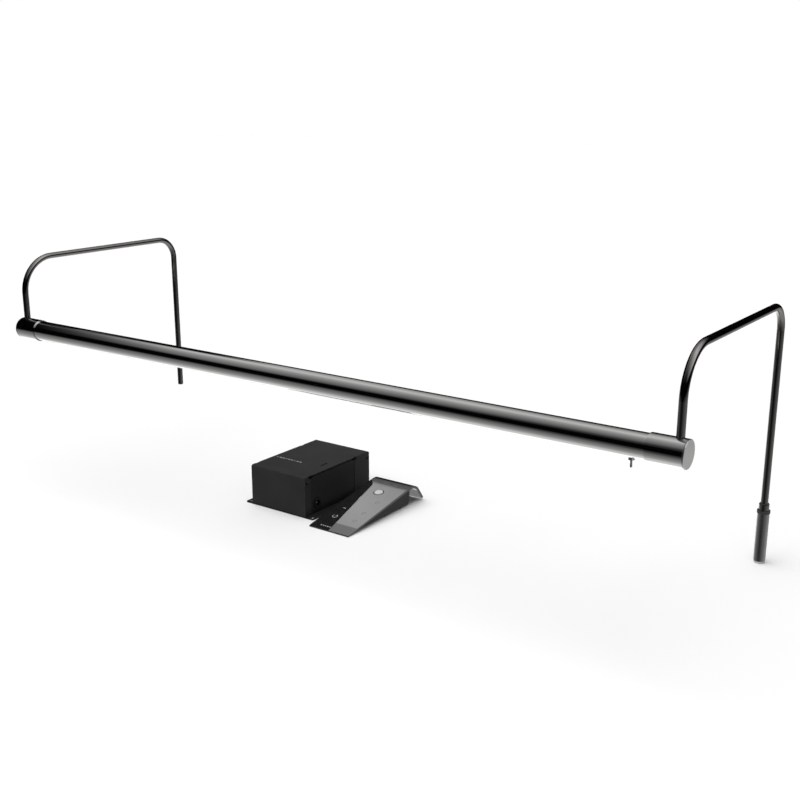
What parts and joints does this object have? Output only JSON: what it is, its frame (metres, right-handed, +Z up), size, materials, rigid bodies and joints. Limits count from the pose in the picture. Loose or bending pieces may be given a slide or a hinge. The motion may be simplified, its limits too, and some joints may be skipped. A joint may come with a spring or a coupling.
{
  "type": "picture light",
  "caption": "Slim LED bar held ahead of a picture frame by bent tube arms, with a tilting lamp tube, a flanged battery box and a wedge-shaped push-button remote.",
  "frame": {"origin": "the picture frame's top back edge under the arms: midway between the arms, at the front of the rear legs and the underside of the arms' top runs", "axes": "+X along the light bar towards the jack side, +Y towards the wall, +Z up"},
  "size_m": [0.742, 0.2298, 0.2363],
  "materials": {
    "black_nickel": "polished black-nickel plating, clear dark reflections",
    "mirror_nickel": "mirror-polished nickel plating with a smoky tone",
    "cap_nickel": "satin nickel disc with fine circular turning",
    "satin_nickel": "satin nickel plating, fine turned grain",
    "steel": "bright zinc-plated steel",
    "aluminium": "plain extruded aluminium",
    "brass": "turned brass",
    "nylon": "matt black nylon",
    "insulator": "light grey moulded insulator",
    "rubber": "soft black rubber",
    "lead_jacket": "thin black wire jacket",
    "opal": "opal white diffuser, soft sheen",
    "board_white": "white solder mask",
    "board_green": "green solder mask with copper tracks",
    "led_white": "LED package with pale phosphor",
    "chip_black": "moulded black epoxy package",
    "can": "bare aluminium can",
    "box_paint": "fine-textured charcoal powder coat",
    "box_paint_dark": "smooth black powder coat",
    "holder_black": "black moulded plastic",
    "cell_wrap": "printed plain cell jacket",
    "remote_gloss": "high-gloss black",
    "remote_body": "satin dark grey moulding",
    "button": "pearl white cap"
  },
  "bodies": {
    "arms": {"arm_left": "black_nickel", "arm_right": "black_nickel", "leg_plug": "black_nickel", "leg_collar": "black_nickel", "leg_rings": "nylon", "jack_barrel": "satin_nickel", "jack_insulator": "insulator", "jack_pins": "steel", "arm_lead": "lead_jacket", "sleeve_left": "mirror_nickel", "sleeve_right": "mirror_nickel", "end_cap_left": "cap_nickel", "end_cap_right": "cap_nickel", "arm_block_left": "aluminium", "arm_block_right": "aluminium", "sleeve_rings": "mirror_nickel", "bearing_plates": "brass", "plate_screws": "steel", "arm_grub_screws": "steel", "box_plate": "box_paint_dark", "box_chassis": "box_paint_dark", "outlet_jack": "nylon", "outlet_nut": "steel", "battery_holder": "holder_black", "battery_cells": "cell_wrap", "cell_contacts": "steel", "receiver_board": "board_green", "board_posts": "brass", "board_screws": "steel", "receiver_chips": "chip_black", "capacitors": "can", "cover_catch": "box_paint_dark"},
    "lamp": {"lamp_tube": "mirror_nickel", "tube_plugs": "aluminium", "spigot_clips": "steel", "friction_washers": "nylon", "led_carrier": "aluminium", "led_board": "board_white", "led_chips": "led_white", "diffuser": "opal", "control_board": "board_green", "ir_sensor": "chip_black", "switch_body": "steel", "switch_nut": "steel", "tube_lead": "lead_jacket"},
    "switch_lever": {"switch_lever": "steel"},
    "box_cover": {"box_cover": "box_paint"},
    "remote": {"remote_face": "remote_gloss", "button_ring": "rubber", "remote_housing": "remote_body", "remote_screws": "steel", "remote_feet": "rubber", "remote_board": "board_green", "tact_switch": "chip_black", "coin_cell": "steel", "coin_clip": "steel", "ir_emitter": "chip_black"},
    "remote_button": {"remote_button": "button"},
    "battery_door": {"battery_door": "remote_body"}
  },
  "joints": [
    {"name": "lamp_tilt", "type": "hinge", "parent": "arms", "child": "lamp", "pos_m": [0, -0.20983, -0.07032], "axis": [1, 0, 0], "range_deg": [-90, 90]},
    {"name": "mode_switch", "type": "hinge", "parent": "lamp", "child": "switch_lever", "pos_m": [0.3285, -0.20983, -0.07982], "axis": [0, 1, 0], "range_deg": [-10, 10]},
    {"name": "cover_lift", "type": "slide", "parent": "arms", "child": "box_cover", "axis": [0, 0, 1], "range_m": [0, 0.06]},
    {"name": "remote_lift", "type": "slide", "parent": "arms", "child": "remote", "axis": [0, 0, 1], "range_m": [0, 0.08]},
    {"name": "button_press", "type": "slide", "parent": "remote", "child": "remote_button", "axis": [0, 0.1736, -0.9848], "range_m": [0, 0.0006], "stiffness_N_per_m": 800, "springref_m": -0.0006},
    {"name": "door_slide", "type": "slide", "parent": "remote", "child": "battery_door", "axis": [0, 1, 0], "range_m": [0, 0.012]}
  ]
}
